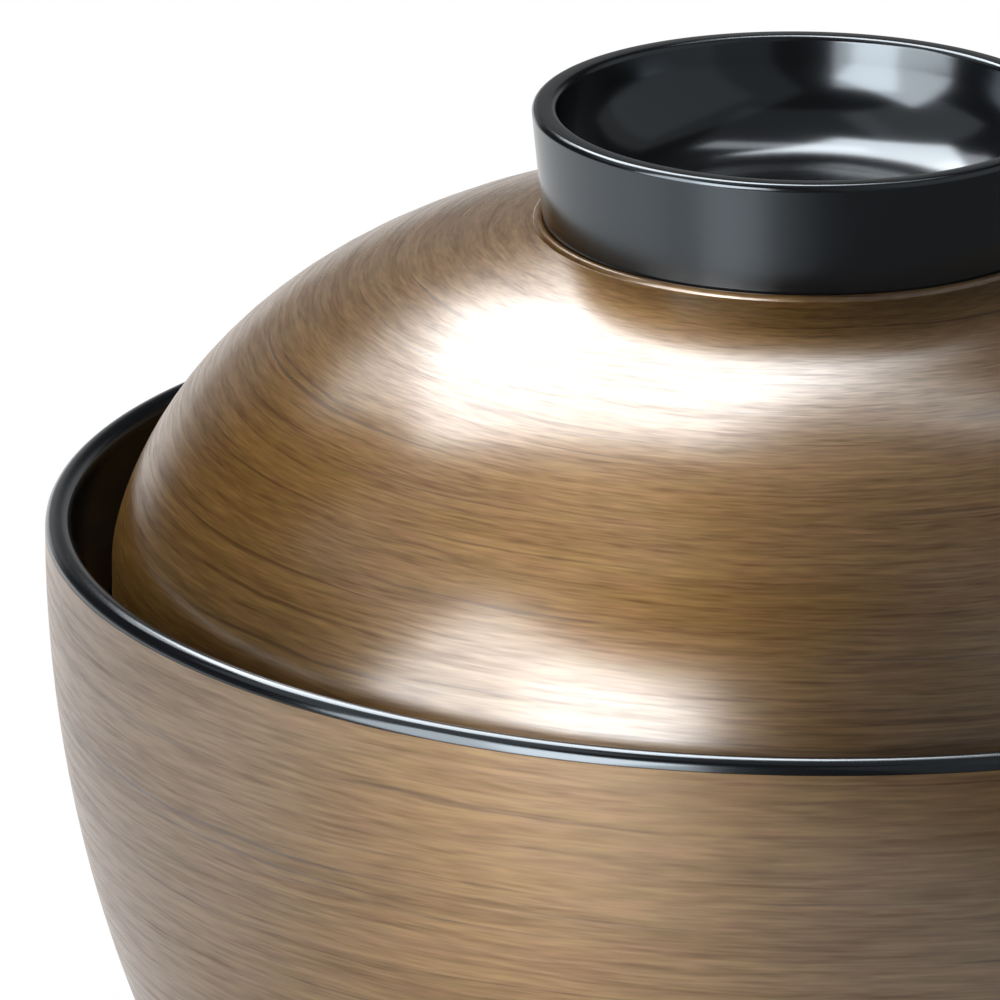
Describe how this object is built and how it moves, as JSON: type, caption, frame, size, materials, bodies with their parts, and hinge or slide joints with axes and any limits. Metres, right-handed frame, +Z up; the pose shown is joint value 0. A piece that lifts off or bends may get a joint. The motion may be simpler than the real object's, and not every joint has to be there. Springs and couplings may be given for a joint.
{
  "type": "lidded soup bowl",
  "caption": "Round soup bowl on a ring foot, with a domed lid that rests inside the rim and lifts off by a ring grip; brushed brown outside and glossy black inside.",
  "frame": {"origin": "centre of the foot, on the surface that the bowl stands on", "axes": "+Z up along the axis that the bowl, its foot, the lid and the grip share; the part is round, so X and Y are free"},
  "size_m": [0.115, 0.115, 0.0983],
  "materials": {
    "turned_wood": "bare turned wood, hidden under the coats",
    "brushed_brown_lacquer": "semi-gloss brown lacquer with fine brush marks round the axis",
    "black_lacquer": "polished black lacquer"
  },
  "bodies": {
    "bowl": {"bowl_core": "turned_wood", "bowl_outer_coat": "brushed_brown_lacquer", "bowl_lining": "black_lacquer", "bowl_foot_ring": "black_lacquer"},
    "lid": {"lid_core": "turned_wood", "lid_outer_coat": "brushed_brown_lacquer", "lid_lining": "black_lacquer", "lid_grip_ring": "black_lacquer"}
  },
  "joints": [
    {"name": "lid_lift", "type": "slide", "parent": "bowl", "child": "lid", "axis": [0, 0, 1], "range_m": [0, 0.08]}
  ]
}
